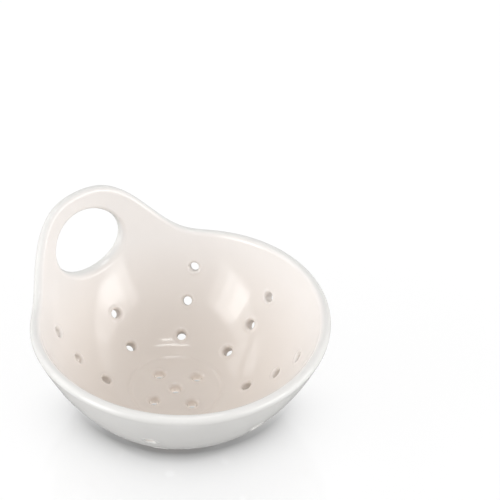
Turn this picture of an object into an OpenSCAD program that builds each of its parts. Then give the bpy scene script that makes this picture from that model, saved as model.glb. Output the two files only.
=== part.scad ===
// Berry colander bowl: a glazed stoneware bowl with drain holes and a loop handle.
// The handle stands at +Y, and the foot rests on z = 0 with its middle at the origin, which is within
// a millimetre of halfway between the front of the rim and the back of the handle.
// Angles round the bowl are counted from the handle, towards +X.

/* [Wall] */
// Radius of the flat floor inside
floor_r = 25.3; // [18:0.1:32]
// Radius at which the wall turns from shallow to steep
elbow_r = 60.5; // [50:0.1:68]
// Height of that turn above the floor
elbow_h = 7.8; // [5:0.1:16]
// Inner radius of the wall at the height brim_h
brim_r = 79.7; // [72:0.1:90]
// Height above the floor at which the wall has the radius brim_r
brim_h = 71.2; // [60:0.1:90]
// Thickness of the stoneware
wall_t = 4.9; // [4:0.1:7]
// Share by which the wall spreads more in front than under the handle
spread_share = 0.058; // [0:0.001:0.1]
// Share by which the bowl is longer than it is wide
oval_share = 0.052; // [0:0.001:0.08]

/* [Rim] */
// Height of the rim above the floor beside the handle
rim_low_h = 47.6; // [43:0.1:53]
// Height of the rim above the floor at the front
rim_front_h = 59.3; // [50:0.1:66]
// Height that the rim gains at the sides, over an even slope from the handle to the front
rim_side_h = 2.8; // [0:0.1:6]

/* [Handle] */
// Height of the handle above the rim
handle_rise = 34; // [26:0.1:38]
// Angle from the middle of the handle to the foot of its flank
flank_angle = 60; // [50:1:70]
// How flat the top of the handle is, where 1 is a plain wave
crown_share = 1.38; // [1:0.01:2]
// How steep the handle's flanks are, where 1 is a plain wave
flank_share = 2.8; // [1:0.1:6]
// Width of the finger hole
hole_w = 42.6; // [30:0.1:46]
// Height of the finger hole
hole_h = 31.8; // [24:0.1:36]
// Height of the finger hole's middle above the floor
hole_mid_h = 55.4; // [52:0.1:58]
// Sideways place of the finger hole's middle
hole_side = -2; // [-4:0.1:4]
// Height above the floor of the joint between handle and bowl
joint_h = 32; // [30:0.2:34]
// Half width of the handle at that joint
joint_half_w = 33; // [28:0.5:36]
// Height above the floor at which the joint's sides reach the rim
joint_side_h = 53; // [50:0.5:56]
// Half width of the handle at that height
joint_side_half_w = 45; // [42:0.5:50]

/* [Drain holes] */
// Diameter of a drain hole
drain_d = 4.8; // [3:0.1:6]
// Columns of drain holes round the wall
columns = 8; // [4:1:10]
// Height of the lowest row above the floor
low_row_h = 4.6; // [3:0.1:8]
// Height of the middle row above the floor
mid_row_h = 17.1; // [14:0.1:21]
// Height of the highest row above the floor
top_row_h = 32.7; // [28:0.5:38]
// Angle by which each row is turned past the one below
row_turn = 2.5; // [0:0.1:6]
// Distance of the floor's outer drain holes from its middle
floor_ring_r = 14.4; // [10:0.1:17]
// Number of those holes
floor_holes = 4; // [3:1:6]

/* [Foot] */
// Outer radius of the foot ring
foot_r = 32; // [28:0.5:36]
// Width of the foot ring
foot_w = 4.5; // [3:0.1:7]
// Height of the floor's underside above the ground
foot_h = 6.1; // [3:0.1:9]
// Rounding of the foot ring's lower edges
foot_round = 0.8; // [0.4:0.1:1.4]
// Distance by which the flat underside reaches past the foot ring
seat_step = 1.5; // [1:0.1:2.5]

/* [Glaze] */
// Thickness of each glaze coat
glaze_t = 0.4; // [0.2:0.05:0.8]

/* [Hidden] */

// Height of the inside floor above the ground
floor_z = foot_h + wall_t;
// Share along the wall's section at which the outside leaves the flat underside
seat_share = 0.2;
// Length by which a cut runs past what it cuts
overrun = 2;
// Steps round the bowl, and the angle by which they crowd towards the handle
turns = 64;
crowding = 20;
// Steps from the middle of the floor to its edge
floor_steps = 2;
// Steps up the wall
wall_steps = 12;
// Steps over one half of the rounded lip
lip_steps = 3;
// Sides of the finger hole's outline
hole_sides = 48;
// Sides of a round cut, which stays a true cylinder
round_sides = 32;

// The wall's section is a curve from the floor's edge to the brim, pulled towards the elbow.
// The share along it runs from 0 at the floor to 1 at the brim.
rise_gain = brim_h - 2 * elbow_h;
function share_at(h) = (sqrt(elbow_h * elbow_h + rise_gain * h) - elbow_h) / rise_gain;
function section_h(s) = 2 * (1 - s) * s * elbow_h + s * s * brim_h;
function section_r(s) = (1 - s) * (1 - s) * floor_r + 2 * (1 - s) * s * elbow_r + s * s * brim_r;
function section_dh(s) = 2 * (1 - s) * elbow_h + 2 * s * (brim_h - elbow_h);
function section_dr(s) = 2 * (1 - s) * (elbow_r - floor_r) + 2 * s * (brim_r - elbow_r);

// Spread of the wall at the angle a, as a factor on its distance from the floor's edge
function spread(a) = 1 - spread_share * cos(a) + oval_share * cos(2 * a);

// Inner point of the wall, as [radius, height above the floor]
function inner(a, s) = [floor_r + (section_r(s) - floor_r) * spread(a), section_h(s)];

// Unit direction up the wall, and the one out of it
function up(a, s) =
    let (run = [section_dr(s) * spread(a), section_dh(s)])
    run / norm(run);
function out(a, s) = let (u = up(a, s)) [u.y, -u.x];

// Height of the rim above the floor
function from_handle(a) = min(a, 360 - a);
function wave(a) =
    let (turn = 180 * pow(min(from_handle(a) / flank_angle, 1), crown_share))
    pow((1 + cos(turn)) / 2, flank_share);
function rim_h(a) =
    rim_low_h + (rim_front_h - rim_low_h) * (1 - cos(a)) / 2
    + rim_side_h * sin(a) * sin(a) + handle_rise * wave(a);

// Surface of the stoneware at the angle a, moved outwards by d: from the middle of the floor to the
// crest of the lip, and from the crest down to the middle of the underside
function lip_share(a) = share_at(rim_h(a) - wall_t / 2);
function lip_point(a, d, turn) =
    let (s = lip_share(a), mid = inner(a, s) + out(a, s) * wall_t / 2)
    mid + (wall_t / 2 + d) * (up(a, s) * sin(turn) - out(a, s) * cos(turn));
function inside(a, d) = [
    for (k = [0 : floor_steps - 1]) [floor_r * k / floor_steps, d],
    for (k = [0 : wall_steps]) let (s = lip_share(a) * k / wall_steps) inner(a, s) - out(a, s) * d,
    for (k = [1 : lip_steps]) lip_point(a, d, 90 * k / lip_steps)
];
function outside(a, d) = [
    for (k = [1 : lip_steps - 1]) lip_point(a, d, 90 + 90 * k / lip_steps),
    for (k = [wall_steps : -1 : 0])
        let (s = seat_share + (lip_share(a) - seat_share) * k / wall_steps)
        inner(a, s) + out(a, s) * (wall_t + d),
    for (k = [floor_steps : -1 : 0]) [(foot_r + seat_step + d) * k / floor_steps, -wall_t - d]
];
function from_crest(a, d) = concat([lip_point(a, d, 90)], outside(a, d));
function backwards(list) = [for (k = [len(list) - 1 : -1 : 0]) list[k]];

// Angle of each step round the bowl
angles = [for (i = [0 : turns - 1]) let (a = 360 * i / turns) a - crowding * sin(a)];

// Closed skin through one section for each angle, where each section starts and ends on the axis
module skin(sections) {
    n = len(sections);
    m = len(sections[0]);
    ring = m - 2;
    points = concat(
        [[0, 0, sections[0][0].y]],
        [for (i = [0 : n - 1], j = [1 : ring])
            let (a = angles[i], p = sections[i][j]) [p.x * sin(a), p.x * cos(a), p.y]],
        [[0, 0, sections[0][m - 1].y]]
    );
    last = len(points) - 1;
    function at(i, j) = 1 + (i % n) * ring + j;
    faces = concat(
        [for (i = [0 : n - 1]) [0, at(i + 1, 0), at(i, 0)]],
        [for (i = [0 : n - 1], j = [0 : ring - 2]) [at(i, j), at(i + 1, j), at(i, j + 1)]],
        [for (i = [0 : n - 1], j = [0 : ring - 2]) [at(i + 1, j), at(i + 1, j + 1), at(i, j + 1)]],
        [for (i = [0 : n - 1]) [last, at(i, ring - 1), at(i + 1, ring - 1)]]
    );
    translate([0, 0, floor_z]) polyhedron(points, faces);
}

// Places a cut on the wall's inner face, with its Z axis out of the wall
module on_wall(a, h) {
    s = share_at(h);
    p = inner(a, s);
    o = out(a, s);
    rotate([0, 0, -a]) translate([0, p.x, floor_z + p.y]) rotate([-atan2(o.x, o.y), 0, 0]) children();
}

module drain_cut(depth) {
    translate([0, 0, -overrun]) cylinder(d = drain_d, h = depth + 2 * overrun, $fn = round_sides);
}

// All drain holes: the floor's, and the rows up the wall, without the one that the handle takes
module drain_cuts() {
    rows = [low_row_h, mid_row_h, top_row_h];
    for (c = [0 : columns - 1], k = [0 : len(rows) - 1])
        if (c > 0 || k < len(rows) - 1)
            on_wall(360 * c / columns + row_turn * (k - 1), rows[k]) drain_cut(wall_t);
    translate([0, 0, floor_z - wall_t]) drain_cut(wall_t);
    for (k = [0 : floor_holes - 1])
        rotate([0, 0, 360 * k / floor_holes])
            translate([0, floor_ring_r, floor_z - wall_t]) drain_cut(wall_t);
}

// Finger hole, an oval cut straight through the handle
module hole_cut() {
    translate([hole_side, 0, floor_z + hole_mid_h]) rotate([-90, 0, 0])
        linear_extrude(brim_r + brim_h)
            polygon([for (k = [0 : hole_sides - 1])
                [hole_w * cos(360 * k / hole_sides), hole_h * sin(360 * k / hole_sides)] / 2]);
}

// The part of the wall that is the handle, seen from the front
module handle_zone() {
    top_h = brim_h + handle_rise;
    lean = (joint_side_half_w - joint_half_w) / (joint_side_h - joint_h);
    top_half_w = joint_half_w + lean * (top_h - joint_h);
    translate([0, 0, floor_z]) rotate([90, 0, 180]) linear_extrude(brim_r + brim_h)
        polygon([[joint_half_w, joint_h], [top_half_w, top_h], [-top_half_w, top_h],
            [-joint_half_w, joint_h]]);
}

module stoneware() {
    skin([for (a = angles) concat(inside(a, 0), outside(a, 0))]);
}

// Wall and floor of the bowl, without the handle
module bowl_shell() {
    color("linen") difference() {
        stoneware();
        handle_zone();
        hole_cut();
        drain_cuts();
    }
}

// Blade that stands up from the wall, with the finger hole
module loop_handle() {
    color("linen") difference() {
        intersection() {
            stoneware();
            handle_zone();
        }
        hole_cut();
    }
}

// Unglazed ring under the flat of the underside
module foot_ring() {
    color("wheat") rotate_extrude($fn = turns) polygon([
        [foot_r - foot_w, foot_round], [foot_r - foot_w + foot_round, 0],
        [foot_r - foot_round, 0], [foot_r, foot_round],
        [foot_r, foot_h], [foot_r - foot_w, foot_h]]);
}

// Glaze on the inside, up to the crest of the lip
module inner_glaze() {
    color("seashell") difference() {
        skin([for (a = angles) concat(inside(a, 0), backwards(inside(a, glaze_t)))]);
        hole_cut();
        drain_cuts();
    }
}

// Glaze on the outside, from the crest of the lip to the underside, with the foot ring left bare
module outer_glaze() {
    color("whitesmoke") difference() {
        skin([for (a = angles) concat(backwards(from_crest(a, glaze_t)), from_crest(a, 0))]);
        hole_cut();
        drain_cuts();
        difference() {
            cylinder(r = foot_r, h = floor_z, $fn = turns);
            translate([0, 0, -overrun])
                cylinder(r = foot_r - foot_w, h = floor_z + 2 * overrun, $fn = turns);
        }
    }
}

bowl_shell();
loop_handle();
foot_ring();
inner_glaze();
outer_glaze();
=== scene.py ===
import math

import bpy
import numpy as np
from mathutils import Euler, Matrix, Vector


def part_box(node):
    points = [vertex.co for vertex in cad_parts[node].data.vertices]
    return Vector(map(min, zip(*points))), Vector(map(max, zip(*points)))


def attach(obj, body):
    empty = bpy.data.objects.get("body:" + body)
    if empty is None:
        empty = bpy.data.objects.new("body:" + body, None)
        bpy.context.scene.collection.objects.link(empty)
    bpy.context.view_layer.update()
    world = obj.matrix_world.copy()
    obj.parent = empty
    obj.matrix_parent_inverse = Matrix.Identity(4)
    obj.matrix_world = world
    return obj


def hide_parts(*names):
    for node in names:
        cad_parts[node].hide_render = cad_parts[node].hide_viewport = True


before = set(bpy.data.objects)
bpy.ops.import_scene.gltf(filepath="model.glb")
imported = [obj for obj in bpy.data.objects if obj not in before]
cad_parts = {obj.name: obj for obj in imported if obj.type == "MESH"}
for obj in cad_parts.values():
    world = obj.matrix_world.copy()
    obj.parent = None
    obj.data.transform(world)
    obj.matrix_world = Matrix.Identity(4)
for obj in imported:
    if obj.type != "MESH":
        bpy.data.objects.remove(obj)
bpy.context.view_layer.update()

# Lengths are in metres. Angles round the bowl count from the handle at +Y towards +X, and heights on
# the wall, the rim and the handle count from the bowl's inside floor.
MM = 0.001

# The wall's inner face in section: a curve from the edge of the flat floor to the brim, pulled
# towards an elbow
FLOOR_R = 25.3 * MM
ELBOW_R = 60.5 * MM
ELBOW_H = 7.8 * MM
BRIM_R = 79.7 * MM
BRIM_H = 71.2 * MM

# The clay's thickness, the glaze's, and half that of the wall with a coat of glaze on each face
WALL_T = 4.9 * MM
GLAZE_T = 0.4 * MM
HALF_T = WALL_T / 2 + GLAZE_T

# How much further the wall spreads in front than under the handle, and lengthwise than across
SPREAD_SHARE = 0.058
OVAL_SHARE = 0.052

# The rim's height under the handle's wave and in front, and what its sides add
RIM_LOW_H = 47.6 * MM
RIM_FRONT_H = 59.3 * MM
RIM_SIDE_H = 2.8 * MM

# The handle's wave: its rise, how far round it reaches each way, and the powers that fill its crown
# and slim its flanks
HANDLE_RISE = 34 * MM
FLANK_ANGLE = math.radians(60)
CROWN_SHARE = 1.38
FLANK_SHARE = 2.8

# The oval finger hole in the handle
HOLE_W = 42.6 * MM
HOLE_H = 31.8 * MM
HOLE_MID_H = 55.4 * MM
HOLE_SIDE = -2 * MM
HOLE_ROUND = 2.4 * MM

# The drain holes: radius, rounding of their edges, and half the length that is cut for each
DRAIN_R = 2.4 * MM
DRAIN_ROUND = 1.2 * MM
FLOOR_DRAIN_ROUND = 1.8 * MM
DRAIN_CUT_HALF = 3 * WALL_T

# Columns of drain holes round the wall, heights of their rows, and the turn from row to row
COLUMNS = 8
ROWS = (4.6 * MM, 17.1 * MM, 32.7 * MM)
ROW_TURN = math.radians(2.5)

# The ring of drain holes in the floor, round the one in its middle
FLOOR_RING_R = 14.4 * MM
FLOOR_HOLES = 4

# A low lip of glaze round each drain hole, a little way off its rounded edge
DRAIN_LIP_GAP = 0.2 * MM
DRAIN_LIP_W = 0.7 * MM
DRAIN_LIP_H = 0.22 * MM

# A faint ridge of glaze where the floor meets the wall
RIDGE_R = 24.8 * MM
RIDGE_W = 0.8 * MM
RIDGE_H = 0.12 * MM

# A lip or ridge has faded out at this many of its widths
BULGE_REACH = 4

# The foot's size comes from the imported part
FOOT_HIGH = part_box("foot_ring")[1]
FOOT_R = FOOT_HIGH[0]
FLOOR_Z = FOOT_HIGH[2] + WALL_T

# The ring of clay that seats the shell on the foot: how far it stands out past the foot, and how
# softly it, and the corner of floor and wall, run into the rest
SEAT_STEP = 1.5 * MM
SEAT_BLEND = 4 * MM
FLOOR_BLEND = 1 * MM

# The CAD nodes that the glazed surface stands for
CAD_NODES = ("bowl_shell", "loop_handle", "inner_glaze", "outer_glaze")

FULL_CELL = 0.7 * MM
MARGIN_CELLS = 3.5

# The mesh's grid is worked out in blocks of cells, and only for blocks near the surface. A block's
# reach is half its diagonal and some spare cells, times a slack, as the distance isn't exact where
# shapes blend. Elsewhere the grid holds a large value.
BLOCK_CELLS = 6
SPARE_CELLS = 2
BLOCK_SLACK = 1.4
BLOCKS_AT_ONCE = 2000
FAR_OFF = 1.0
CORNERS = [(i, j, k) for i in (0, 1) for j in (0, 1) for k in (0, 1)]

# Rounds of the search for the nearest point of the section, and of drawing vertices to the surface,
# and the step to each side that the distance's gradient takes
SEARCH_STEPS = 4
REFINE_STEPS = 3
GRADIENT_STEP = 0.02 * MM

# Lower bounds that keep divisions safe
LEAST_STEEPNESS = 0.2
LEAST_OVAL_SLOPE = 1
TINY = 1e-6

WHITE = (1, 1, 1, 1)

# Glaze colours: outside, at the rim inside, and on the inside floor, darker and warmer there as
# painted shade and bounce light
GLAZE_OUTSIDE = (0.785, 0.775, 0.753, 1)
GLAZE_INSIDE = (0.84, 0.806, 0.78, 1)
GLAZE_LOW_SHADED = (0.835, 0.757, 0.69, 1)
GLAZE_ROUGHNESS = 0.1
GLAZE_IOR = 1.5

# The part of the way from the outer face to the inner one over which the glaze's colour changes
TONE_FROM = 0.7
TONE_TO = 0.95

# Faint clouds in the glaze's tone, and a slight ripple in its surface. Scales are per metre.
CLOUD_SCALE = 55
CLOUD_DETAIL = 3
CLOUD_DARK = 0.985
CLOUD_LIGHT = 1.015
RIPPLE_SCALE = 70
RIPPLE_DETAIL = 1
RIPPLE_STRENGTH = 0.12
RIPPLE_DEPTH = 0.4 * MM

# The foot's bare clay, with its grains
CLAY_DARK = (0.50, 0.43, 0.35, 1)
CLAY_LIGHT = (0.66, 0.59, 0.50, 1)
CLAY_ROUGHNESS = 0.85
GRAIN_SCALE = 1400
GRAIN_DETAIL = 4
GRAIN_STRENGTH = 0.4
GRAIN_DEPTH = 0.15 * MM

# The table: what it bounces onto the bowl, and what the camera sees of it where nothing shades it,
# partly lit by the lamps and partly a glow of its own
TABLE_HALF = 3.0
TABLE_BOUNCE = (0.53, 0.53, 0.53, 1)
TABLE_LIT = 0.15
TABLE_GLOW = 0.78
TABLE_ROUGHNESS = 0.06
TABLE_IOR = 1.8

# A soft shadow of the bowl, painted on the table in front of it. It takes SHADE_DEPTH of the light on
# a circle of radius SHADE_R, more inside it, up to SHADE_DEEPEST, and less outside: each SHADE_FADE
# outwards divides it by e. The circle's middle lies SHADE_OFF from the bowl's, at SHADE_TURN degrees
# to the right of the camera's side, which is behind the bowl.
SHADE_TURN = 174
SHADE_OFF = 27.7 * MM
SHADE_R = 74 * MM
SHADE_FADE = 8 * MM
SHADE_DEPTH = 0.2
SHADE_DEEPEST = 0.65

# From in front of the bowl's middle to behind it, the painted soft shadow gives way to more of the
# narrow one
BEHIND_FROM = -30 * MM
BEHIND_TO = 20 * MM

# The narrow shadow close to the foot, painted from ambient occlusion: its reach, and the powers of its
# depth, all round and the extra one behind
CONTACT_REACH = 12 * MM
CONTACT_SAMPLES = 16
CONTACT_POWER = 0.4
BEHIND_POWER = 1.2

# Painted light on the table inside the foot ring, where it shows through the floor's drain holes: how
# light it is there
UNDER_PAINTED_LIGHT = 0.6

# The photograph's camera, from a fit to the rim, the silhouettes and the drain holes. The middle of
# the bowl's inside floor is left of the picture's middle by AIM_SIDE and below it by AIM_UP.
PHOTO_SIDE = 500
FOCAL_PIXELS = 2500
SENSOR_MM = 36
CAMERA_DISTANCE = 1333.3 * MM
CAMERA_TILT = math.radians(40.91)
CAMERA_TURN = math.radians(38.78)
AIM_SIDE = 39.68 * MM
AIM_UP = 74.1 * MM

# The studio's softboxes stand round the bowl at one distance. Each has its turn to the right of the
# camera's side and its tilt above the table in degrees, its width and height, and its brightness as
# a multiple of white.
SOFTBOX_DISTANCE = 3.0
SOFTBOX_AIM_H = 40 * MM
SOFTBOXES = {
    "left_panel": (-72, 19, 3.4, 2.2, 1.5),
    "left_window": (-61, 18, 1.2, 1.9, 2.5),
    "left_window_core": (-67, 17, 0.6, 1.4, 1.8),
    "right_panel": (70, 19, 3.4, 2.2, 1.8),
    "right_window": (60, 21, 2.0, 1.0, 1.2),
    "right_window_core": (62, 20, 1.2, 0.75, 2.2),
    "front_panel": (0, 40, 2.4, 1.6, 0.15),
    "back_left_panel": (-120, 36, 1.8, 1.6, 1.2),
    "back_right_panel": (115, 24, 1.8, 1.6, 0.7),
    "overhead_strip_back": (180, 82, 1.0, 0.24, 7.0),
    "overhead_strip_front": (0, 86, 1.0, 0.24, 7.0),
}

# A small round lamp between the table and the bowl's floor
UNDER_LIGHT_R = 24 * MM
UNDER_LIGHT_H = 1 * MM
UNDER_LIGHT_LEVEL = 0.8

# Ambient light on the objects, as a share of white
AMBIENT = 0.45


def section(s):
    """Radius and height of the wall's inner face at the share s of its section."""
    r = (1 - s) ** 2 * FLOOR_R + 2 * (1 - s) * s * ELBOW_R + s**2 * BRIM_R
    return r, 2 * (1 - s) * s * ELBOW_H + s**2 * BRIM_H


def section_run(s):
    """How fast the section's radius and height grow with its share s."""
    r = 2 * (1 - s) * (ELBOW_R - FLOOR_R) + 2 * s * (BRIM_R - ELBOW_R)
    return r, 2 * (1 - s) * ELBOW_H + 2 * s * (BRIM_H - ELBOW_H)


def share_at(h):
    """Share of the section at which the wall's inner face has the height h."""
    gain = BRIM_H - 2 * ELBOW_H
    return (np.sqrt(ELBOW_H**2 + gain * np.maximum(h, 0)) - ELBOW_H) / gain


def spread(a):
    """Factor on the wall's reach past the floor at the angle a."""
    return 1 - SPREAD_SHARE * np.cos(a) + OVAL_SHARE * np.cos(2 * a)


def rim_height(a):
    """Height of the clay's crest at the angle a."""
    turn = np.pi * np.minimum(np.abs(a) / FLANK_ANGLE, 1) ** CROWN_SHARE
    wave = ((1 + np.cos(turn)) / 2) ** FLANK_SHARE
    slope = RIM_LOW_H + (RIM_FRONT_H - RIM_LOW_H) * (1 - np.cos(a)) / 2
    return slope + RIM_SIDE_H * np.sin(a) ** 2 + HANDLE_RISE * wave


def wall_frame(a, s):
    """Point on the wall's inner face, the unit direction up the wall, and its run per share."""
    k = spread(a)
    r, h = section(s)
    run_r, run_h = section_run(s)
    run_r = run_r * k
    length = np.hypot(run_r, run_h)
    return FLOOR_R + (r - FLOOR_R) * k, h, run_r / length, run_h / length, length


def smooth_min(p, q, k):
    """The smaller of two distances, with the crease between them rounded over k."""
    m = np.maximum(k - np.abs(p - q), 0) / k
    return np.minimum(p, q) - m**3 * k / 6


def round_cut(solid, cut, k):
    """Distance to a solid less its part inside a cut, with the new edge rounded by the radius k."""
    past = np.hypot(np.maximum(solid + k, 0), np.maximum(k - cut, 0))
    return np.minimum(np.maximum(solid, -cut), -k) + past


def bulge(off, width, height):
    """Height of a lip or ridge at a distance off its crest."""
    return height * np.exp(-(off / width) ** 2)


def wall_distance(r, a, z):
    """Distance to the glazed wall, with its round lip, in the upright plane at the angle a."""
    lip = share_at(rim_height(a) - WALL_T / 2)
    s = np.clip(share_at(z), 0, lip)
    for step in range(SEARCH_STEPS):
        q_r, q_h, u_r, u_h, length = wall_frame(a, s)
        s = np.clip(s + ((r - q_r) * u_r + (z - q_h) * u_h) / length, 0, lip)
    q_r, q_h, u_r, u_h, length = wall_frame(a, s)
    along = (r - q_r) * u_r + (z - q_h) * u_h
    across = (r - q_r) * u_h - (z - q_h) * u_r - WALL_T / 2
    return np.hypot(along, across) - HALF_T


def floor_distance(r, z):
    """Distance to the glazed floor, which ends in a round edge inside the wall."""
    past = np.maximum(r - FLOOR_R, 0)
    return np.hypot(past, z + WALL_T / 2) - HALF_T


def seat_distance(r, z):
    """Distance to the glazed ring of clay that seats the shell on the foot."""
    half_h = WALL_T / 2
    out_r = np.abs(r - FOOT_R + HALF_T) - SEAT_STEP - HALF_T + GLAZE_T
    out_h = np.abs(z + half_h) - half_h
    outside = np.hypot(np.maximum(out_r, 0), np.maximum(out_h, 0))
    return outside + np.minimum(np.maximum(out_r, out_h), 0) - GLAZE_T


def floor_drains():
    """Place, outward direction and edge rounding of each drain hole in the floor."""
    places = [(0.0, 0.0, 0.0)]
    for k in range(FLOOR_HOLES):
        a = 2 * math.pi * k / FLOOR_HOLES
        places.append((FLOOR_RING_R * math.sin(a), FLOOR_RING_R * math.cos(a), 0.0))
    return [(place, (0.0, 0.0, -1.0), FLOOR_DRAIN_ROUND) for place in places]


def wall_drains():
    """Place on the inner face, outward direction and edge rounding of each drain hole in the wall."""
    drains = []
    for column in range(COLUMNS):
        for row, h in enumerate(ROWS):
            # The handle takes the place of the top hole in its column
            if column == 0 and row == len(ROWS) - 1:
                continue
            a = 2 * math.pi * column / COLUMNS + ROW_TURN * (row - 1)
            r, z, u_r, u_h, length = wall_frame(a, share_at(h))
            place = (r * math.sin(a), r * math.cos(a), z)
            outward = (u_h * math.sin(a), u_h * math.cos(a), -u_r)
            drains.append((place, outward, DRAIN_ROUND))
    return drains


DRAINS = floor_drains() + wall_drains()


def drain_place(x, y, z, place, axis):
    """How far points are along a drain hole and off its axis."""
    px, py, pz = x - place[0], y - place[1], z - place[2]
    along = px * axis[0] + py * axis[1] + pz * axis[2]
    return along, np.sqrt(np.maximum(px**2 + py**2 + pz**2 - along**2, 0))


def raise_ridge(d, r, z):
    """Raise the faint ridge on the upper side of the floor."""
    near = (z > -WALL_T / 2) & (np.abs(r - RIDGE_R) < BULGE_REACH * RIDGE_W)
    d[near] -= bulge(r[near] - RIDGE_R, RIDGE_W, RIDGE_H)


def cut_drain(d, x, y, z, drain):
    """Cut a drain hole with rounded edges, and raise the lip of glaze round it."""
    place, axis, rounding = drain
    along, off = drain_place(x, y, z, place, axis)
    lip_r = DRAIN_R + rounding + DRAIN_LIP_GAP
    near = (off < lip_r + BULGE_REACH * DRAIN_LIP_W) & (np.abs(along - WALL_T / 2) < DRAIN_CUT_HALF)
    d[near] -= bulge(off[near] - lip_r, DRAIN_LIP_W, DRAIN_LIP_H)
    d[near] = round_cut(d[near], off[near] - DRAIN_R, rounding)


def cut_finger_hole(d, x, y, z):
    """Cut the oval finger hole with rounded edges."""
    half_w, half_h = HOLE_W / 2, HOLE_H / 2
    near = (y > 0) & (np.abs(x) < HOLE_W) & (np.abs(z - HOLE_MID_H) < HOLE_H)
    across = (x[near] - HOLE_SIDE) / half_w
    up = (z[near] - HOLE_MID_H) / half_h
    reach = np.hypot(across, up)
    slope = np.hypot(across / half_w, up / half_h) / np.maximum(reach, TINY)
    oval = (reach - 1) / np.maximum(slope, LEAST_OVAL_SLOPE)
    d[near] = round_cut(d[near], oval, HOLE_ROUND)


def bowl_distance(points):
    """Distance from the glazed bowl's surface, negative inside it."""
    x, y = points[:, 0], points[:, 1]
    z = points[:, 2] - FLOOR_Z
    r = np.hypot(x, y)
    a = np.arctan2(x, y)
    d = smooth_min(wall_distance(r, a, z), floor_distance(r, z), FLOOR_BLEND)
    d = smooth_min(d, seat_distance(r, z), SEAT_BLEND)
    raise_ridge(d, r, z)
    for drain in DRAINS:
        cut_drain(d, x, y, z, drain)
    cut_finger_hole(d, x, y, z)
    return d


def gradient(points):
    """How fast the distance grows along each axis."""
    g = np.empty_like(points)
    for k in range(3):
        shift = np.zeros(3)
        shift[k] = GRADIENT_STEP
        g[:, k] = (bowl_distance(points + shift) - bowl_distance(points - shift)) / (2 * GRADIENT_STEP)
    return g


def grid_indices(counts):
    """All places in a grid of these counts, one in each row."""
    return np.stack(np.meshgrid(*[np.arange(n) for n in counts], indexing="ij"), -1).reshape(-1, 3)


def sample_grid(low, size, cell):
    """The distance at every grid point near the surface, and a large value elsewhere."""
    blocks = [int(math.ceil(s / (cell * BLOCK_CELLS))) for s in size]
    values = np.full([n * BLOCK_CELLS + 1 for n in blocks], FAR_OFF)
    index = grid_indices(blocks)
    middle = low + (index + 0.5) * BLOCK_CELLS * cell
    reach = BLOCK_CELLS * cell * math.sqrt(3) / 2 + SPARE_CELLS * cell
    close = index[np.abs(bowl_distance(middle)) < BLOCK_SLACK * reach]
    local = grid_indices([BLOCK_CELLS + 1] * 3)
    for start in range(0, len(close), BLOCKS_AT_ONCE):
        at = (close[start:start + BLOCKS_AT_ONCE, None] * BLOCK_CELLS + local).reshape(-1, 3)
        values[tuple(at.T)] = bowl_distance(low + at * cell)
    return values


def crossed_cells(inside):
    """The cells that the surface passes through, which have corners on both sides of it."""
    i_end, j_end, k_end = [n - 1 for n in inside.shape]
    count = np.zeros((i_end, j_end, k_end), dtype=np.int8)
    for i, j, k in CORNERS:
        count += inside[i:i + i_end, j:j + j_end, k:k + k_end]
    return np.argwhere((count > 0) & (count < len(CORNERS)))


def cell_vertices(values, cells):
    """A vertex in each crossed cell, at the mean of the points where the surface cuts its edges."""
    total = np.zeros((len(cells), 3))
    crossings = np.zeros(len(cells))
    for corner in CORNERS:
        for axis in range(3):
            if corner[axis]:
                continue
            far_corner = list(corner)
            far_corner[axis] = 1
            near = values[tuple((cells + corner).T)]
            far = values[tuple((cells + far_corner).T)]
            cut = (near < 0) != (far < 0)
            point = np.tile(np.array(corner, float), (cut.sum(), 1))
            point[:, axis] += near[cut] / (near[cut] - far[cut])
            total[cut] += point
            crossings[cut] += 1
    return cells + total / crossings[:, None]


def edge_quads(inside, number):
    """A quad round each grid edge that the surface cuts, from the vertices of the four cells there."""
    quads = []
    for axis in range(3):
        starts = np.delete(inside, -1, axis)
        ends = np.delete(inside, 0, axis)
        for leaving in (True, False):
            edges = np.argwhere(starts & ~ends if leaving else ends & ~starts)
            ring = []
            for back_b, back_c in ((0, 0), (1, 0), (1, 1), (0, 1)):
                cells = edges.copy()
                cells[:, (axis + 1) % 3] -= back_b
                cells[:, (axis + 2) % 3] -= back_c
                ring.append(number[tuple(cells.T)])
            ring = np.stack(ring, 1)
            quads.append(ring if leaving else ring[:, ::-1])
    return np.concatenate(quads)


def surface_net(values, low, cell):
    """Vertices and quads of the surface where the grid's values change sign."""
    inside = values < 0
    cells = crossed_cells(inside)
    number = np.full([n - 1 for n in values.shape], -1)
    number[tuple(cells.T)] = np.arange(len(cells))
    return low + cell_vertices(values, cells) * cell, edge_quads(inside, number)


def bowl_mesh(cell):
    """Vertices, quads and vertex normals of the glazed surface."""
    margin = MARGIN_CELLS * cell
    boxes = [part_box(node) for node in CAD_NODES]
    low = np.min([box[0] for box in boxes], axis=0) - margin
    high = np.max([box[1] for box in boxes], axis=0) + margin
    verts, quads = surface_net(sample_grid(low, high - low, cell), low, cell)
    for step in range(REFINE_STEPS):
        g = gradient(verts)
        steepness = np.maximum((g**2).sum(1), LEAST_STEEPNESS)
        verts = verts - (bowl_distance(verts) / steepness)[:, None] * g
    normals = gradient(verts)
    normals /= np.linalg.norm(normals, axis=1)[:, None]
    return verts, quads, normals


def inside_amount(verts):
    """1 on the inner face and in the drain holes, 0 on the outer face, and between over the lip."""
    x, y = verts[:, 0], verts[:, 1]
    z = verts[:, 2] - FLOOR_Z
    r = np.hypot(x, y)
    q_r, q_h, u_r, u_h, length = wall_frame(np.arctan2(x, y), share_at(z))
    across = (r - q_r) * u_h - (z - q_h) * u_r - WALL_T / 2
    on_floor = r < FLOOR_R
    across[on_floor] = -(z[on_floor] + WALL_T / 2)
    amount = np.clip(0.5 - across / (2 * HALF_T), 0, 1)
    for place, axis, rounding in DRAINS:
        along, off = drain_place(x, y, z, place, axis)
        amount[(off < DRAIN_R + rounding / 2) & (along > 0) & (along < WALL_T)] = 1
    return amount


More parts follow.
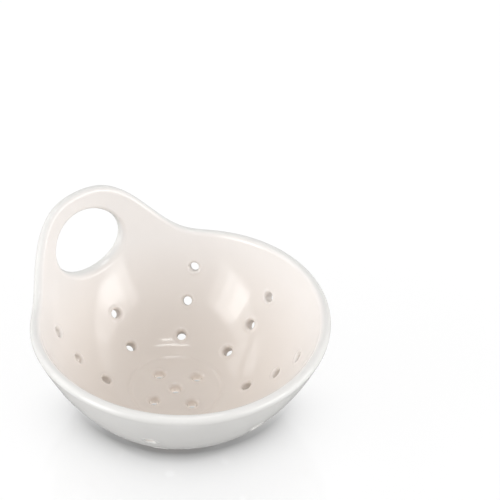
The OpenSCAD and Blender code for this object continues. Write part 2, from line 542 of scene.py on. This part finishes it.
def add_bowl():
    """The whole glazed surface, as one closed mesh."""
    verts, quads, normals = bowl_mesh(FULL_CELL)
    mesh = bpy.data.meshes.new("glazed_bowl")
    mesh.from_pydata(verts.tolist(), [], quads.tolist())
    mesh.validate()
    mesh.polygons.foreach_set("use_smooth", [True] * len(mesh.polygons))
    mesh.normals_split_custom_set_from_vertices(normals.tolist())
    inside = mesh.attributes.new("inside", "FLOAT", "POINT")
    inside.data.foreach_set("value", inside_amount(verts))
    mesh.materials.append(glaze_material())
    bowl = bpy.data.objects.new("glazed_bowl", mesh)
    bpy.context.collection.objects.link(bowl)
    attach(bowl, "root")
    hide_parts(*CAD_NODES)


def dress_foot():
    """Bare clay on the foot ring, which keeps its CAD shape."""
    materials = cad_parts["foot_ring"].data.materials
    materials.clear()
    materials.append(clay_material())


def new_material(name):
    """New material, with its node tree and its shader."""
    material = bpy.data.materials.new(name)
    material.use_nodes = True
    return material, material.node_tree, material.node_tree.nodes["Principled BSDF"]


def feed(tree, socket, value):
    """Link another node's output to a socket, or set the socket to a plain value."""
    if isinstance(value, bpy.types.NodeSocket):
        tree.links.new(value, socket)
    else:
        socket.default_value = value


def object_place(tree):
    """Output with a point's place in metres."""
    return tree.nodes.new("ShaderNodeTexCoord").outputs["Object"]


def calculate(tree, operation, *values):
    """Output of a calculation with numbers, each a plain value or another node's output."""
    node = tree.nodes.new("ShaderNodeMath")
    node.operation = operation
    for socket, value in zip(node.inputs, values):
        feed(tree, socket, value)
    return node.outputs["Value"]


def measure(tree, operation, *vectors):
    """Output with the number that an operation finds from vectors, such as their distance."""
    node = tree.nodes.new("ShaderNodeVectorMath")
    node.operation = operation
    for socket, vector in zip(node.inputs, vectors):
        feed(tree, socket, vector)
    return node.outputs["Value"]


def ramp(tree, value, start, end, low=0, high=1, interpolation="LINEAR"):
    """Output that goes from low to high while a value goes from start to end."""
    node = tree.nodes.new("ShaderNodeMapRange")
    node.interpolation_type = interpolation
    feed(tree, node.inputs["Value"], value)
    feed(tree, node.inputs["From Min"], start)
    feed(tree, node.inputs["From Max"], end)
    feed(tree, node.inputs["To Min"], low)
    feed(tree, node.inputs["To Max"], high)
    return node.outputs["Result"]


def mix_colours(tree, share, first, second):
    """Output that goes from the first colour to the second as the share goes from 0 to 1."""
    node = tree.nodes.new("ShaderNodeMix")
    node.data_type = "RGBA"
    feed(tree, node.inputs["Factor"], share)
    feed(tree, node.inputs["A"], first)
    feed(tree, node.inputs["B"], second)
    return node.outputs["Result"]


def noise(tree, scale, detail):
    """Output with noise from 0 to 1."""
    node = tree.nodes.new("ShaderNodeTexNoise")
    node.inputs["Scale"].default_value = scale
    node.inputs["Detail"].default_value = detail
    feed(tree, node.inputs["Vector"], object_place(tree))
    return node.outputs["Fac"]


def add_bump(tree, shader, height, strength, depth):
    """Give a shader the bumps of a height from 0 to 1."""
    bump = tree.nodes.new("ShaderNodeBump")
    bump.inputs["Strength"].default_value = strength
    bump.inputs["Distance"].default_value = depth
    feed(tree, bump.inputs["Height"], height)
    feed(tree, shader.inputs["Normal"], bump.outputs["Normal"])


def glaze_tone(tree):
    """Output with the glaze's colour, which is warmer inside, and darker and warmest low inside, as
    painted shade.
    """
    place = tree.nodes.new("ShaderNodeSeparateXYZ")
    feed(tree, place.inputs["Vector"], object_place(tree))
    height = ramp(tree, place.outputs["Z"], FLOOR_Z, FLOOR_Z + RIM_LOW_H)
    # Towards the inside floor the glaze is painted darker and warmer, as shade and warm bounce light
    inner = mix_colours(tree, height, GLAZE_LOW_SHADED, GLAZE_INSIDE)
    inside = tree.nodes.new("ShaderNodeAttribute")
    inside.attribute_name = "inside"
    share = ramp(tree, inside.outputs["Fac"], TONE_FROM, TONE_TO)
    return mix_colours(tree, share, GLAZE_OUTSIDE, inner)


def glaze_material():
    """Glossy off-white glaze, with faint clouds in its tone and a slight ripple."""
    material, tree, shader = new_material("off_white_glaze")
    clouds = noise(tree, CLOUD_SCALE, CLOUD_DETAIL)
    colour = tree.nodes.new("ShaderNodeVectorMath")
    colour.operation = "SCALE"
    feed(tree, colour.inputs[0], glaze_tone(tree))
    feed(tree, colour.inputs["Scale"], ramp(tree, clouds, 0, 1, CLOUD_DARK, CLOUD_LIGHT))
    feed(tree, shader.inputs["Base Color"], colour.outputs["Vector"])
    shader.inputs["Roughness"].default_value = GLAZE_ROUGHNESS
    shader.inputs["IOR"].default_value = GLAZE_IOR
    add_bump(tree, shader, noise(tree, RIPPLE_SCALE, RIPPLE_DETAIL), RIPPLE_STRENGTH, RIPPLE_DEPTH)
    return material


def clay_material():
    """Bare fired clay, with fine grains."""
    material, tree, shader = new_material("bare_clay")
    grain = noise(tree, GRAIN_SCALE, GRAIN_DETAIL)
    tone = tree.nodes.new("ShaderNodeValToRGB")
    tone.color_ramp.elements[0].color = CLAY_DARK
    tone.color_ramp.elements[1].color = CLAY_LIGHT
    feed(tree, tone.inputs["Fac"], grain)
    feed(tree, shader.inputs["Base Color"], tone.outputs["Color"])
    shader.inputs["Roughness"].default_value = CLAY_ROUGHNESS
    add_bump(tree, shader, grain, GRAIN_STRENGTH, GRAIN_DEPTH)
    return material


def around(turn_degrees, tilt_degrees, distance):
    """Offset at an angle to the right of the camera's side of the bowl and above the table."""
    turn = math.radians(turn_degrees) - CAMERA_TURN
    tilt = math.radians(tilt_degrees)
    flat = distance * math.cos(tilt)
    return Vector((flat * math.sin(turn), -flat * math.cos(turn), distance * math.sin(tilt)))


def painted_soft_shadow(tree, place):
    """Output with the light in the bowl's painted soft shadow, from dark in the middle of a circle to
    1.
    """
    off = measure(tree, "DISTANCE", place, around(SHADE_TURN, 0, SHADE_OFF))
    inward = calculate(tree, "MULTIPLY_ADD", off, -1 / SHADE_FADE, SHADE_R / SHADE_FADE)
    depth = calculate(tree, "MULTIPLY", calculate(tree, "EXPONENT", inward), SHADE_DEPTH)
    return calculate(tree, "SUBTRACT", 1, calculate(tree, "MINIMUM", depth, SHADE_DEEPEST))


def painted_contact_shade(tree, power):
    """Output with painted shade from how far the table lies open to the light, from 0 close under the
    bowl to 1.
    """
    open_sky = tree.nodes.new("ShaderNodeAmbientOcclusion")
    open_sky.samples = CONTACT_SAMPLES
    open_sky.inputs["Distance"].default_value = CONTACT_REACH
    return calculate(tree, "POWER", open_sky.outputs["AO"], power)


def behind_share(tree, place):
    """Output that rises from 0 in front of the bowl's middle to 1 on the table behind it."""
    behind = measure(tree, "DOT_PRODUCT", place, -around(0, 0, 1))
    return ramp(tree, behind, BEHIND_FROM, BEHIND_TO, interpolation="SMOOTHSTEP")


def painted_under_light(tree, place):
    """Output with painted light on the table inside the foot ring, and 0 outside it."""
    under = calculate(tree, "LESS_THAN", measure(tree, "LENGTH", place), FOOT_R)
    return calculate(tree, "MULTIPLY", under, UNDER_PAINTED_LIGHT)


def painted_table_shade(tree):
    """Output for how light the table is with its painted shade, from 0 in full shade to 1 in the open.
    """
    place = object_place(tree)
    front = painted_soft_shadow(tree, place)
    behind = painted_contact_shade(tree, BEHIND_POWER)
    either = ramp(tree, behind_share(tree, place), 0, 1, front, behind)
    outer = calculate(tree, "MULTIPLY", either, painted_contact_shade(tree, CONTACT_POWER))
    return calculate(tree, "MAXIMUM", outer, painted_under_light(tree, place))


def floor_material():
    """White glossy table top, which the camera sees as white where the bowl's painted shade doesn't
    darken it.
    """
    material, tree, shader = new_material("white_table")
    seen = tree.nodes.new("ShaderNodeLightPath").outputs["Is Camera Ray"]
    shade = painted_table_shade(tree)
    lit = calculate(tree, "MULTIPLY", shade, TABLE_LIT)
    glow = calculate(tree, "MULTIPLY", shade, TABLE_GLOW)
    feed(tree, shader.inputs["Base Color"], mix_colours(tree, seen, TABLE_BOUNCE, lit))
    shader.inputs["Emission Color"].default_value = WHITE
    feed(tree, shader.inputs["Emission Strength"], calculate(tree, "MULTIPLY", seen, glow))
    shader.inputs["Roughness"].default_value = TABLE_ROUGHNESS
    shader.inputs["IOR"].default_value = TABLE_IOR
    return material


def add_floor():
    """White table, wide enough to fill every view."""
    mesh = bpy.data.meshes.new("floor")
    sides = ((-1, -1), (1, -1), (1, 1), (-1, 1))
    mesh.from_pydata([(TABLE_HALF * x, TABLE_HALF * y, 0) for x, y in sides], [], [(0, 1, 2, 3)])
    mesh.materials.append(floor_material())
    floor = bpy.data.objects.new("floor", mesh)
    bpy.context.collection.objects.link(floor)


def add_camera():
    """Camera with the photograph's place, aim and focal length."""
    data = bpy.data.cameras.new("camera")
    data.sensor_width = SENSOR_MM
    data.lens = SENSOR_MM * FOCAL_PIXELS / PHOTO_SIDE
    camera = bpy.data.objects.new("camera", data)
    bpy.context.collection.objects.link(camera)
    camera.rotation_euler = Euler((math.pi / 2 - CAMERA_TILT, 0, -CAMERA_TURN))
    offset = Vector((AIM_SIDE, AIM_UP, CAMERA_DISTANCE))
    offset.rotate(camera.rotation_euler)
    camera.location = Vector((0, 0, FLOOR_Z)) + offset
    bpy.context.scene.camera = camera


def add_lamp(name, shape, energy):
    """Area lamp that the camera doesn't see."""
    data = bpy.data.lights.new(name, "AREA")
    data.shape = shape
    data.energy = energy
    lamp = bpy.data.objects.new(name, data)
    lamp.visible_camera = False
    bpy.context.collection.objects.link(lamp)
    return lamp


def add_softbox(name, turn, tilt, width, height, level):
    """Softbox that faces the bowl, whose face is level times as bright as white."""
    lamp = add_lamp(name, "RECTANGLE", level * math.pi * width * height)
    lamp.data.size = width
    lamp.data.size_y = height
    aim = Vector((0, 0, SOFTBOX_AIM_H))
    lamp.location = aim + around(turn, tilt, SOFTBOX_DISTANCE)
    lamp.rotation_euler = (aim - lamp.location).to_track_quat("-Z", "Y").to_euler()


def add_under_light():
    """Small lamp under the bowl's floor, which shines up into the drain holes."""
    lamp = add_lamp("under_light", "DISK", UNDER_LIGHT_LEVEL * math.pi * math.pi * UNDER_LIGHT_R**2)
    lamp.data.size = 2 * UNDER_LIGHT_R
    lamp.location = Vector((0, 0, UNDER_LIGHT_H))
    lamp.rotation_euler = Euler((math.pi, 0, 0))


def add_world():
    """Plain ambient light, which the camera and reflections see as white."""
    world = bpy.data.worlds.new("studio")
    bpy.context.scene.world = world
    world.use_nodes = True
    tree = world.node_tree
    path = tree.nodes.new("ShaderNodeLightPath")
    seen = calculate(tree, "MAXIMUM", path.outputs["Is Camera Ray"], path.outputs["Is Glossy Ray"])
    back = tree.nodes["Background"]
    back.inputs["Color"].default_value = WHITE
    feed(tree, back.inputs["Strength"], ramp(tree, seen, 0, 1, AMBIENT, 1))


def main():
    """Build the studio, the table and the bowl's looks round the CAD part."""
    add_world()
    add_camera()
    add_floor()
    add_bowl()
    dress_foot()
    for name, (turn, tilt, width, height, level) in SOFTBOXES.items():
        add_softbox(name, turn, tilt, width, height, level)
    add_under_light()
    bpy.context.scene.view_settings.view_transform = "Standard"


main()
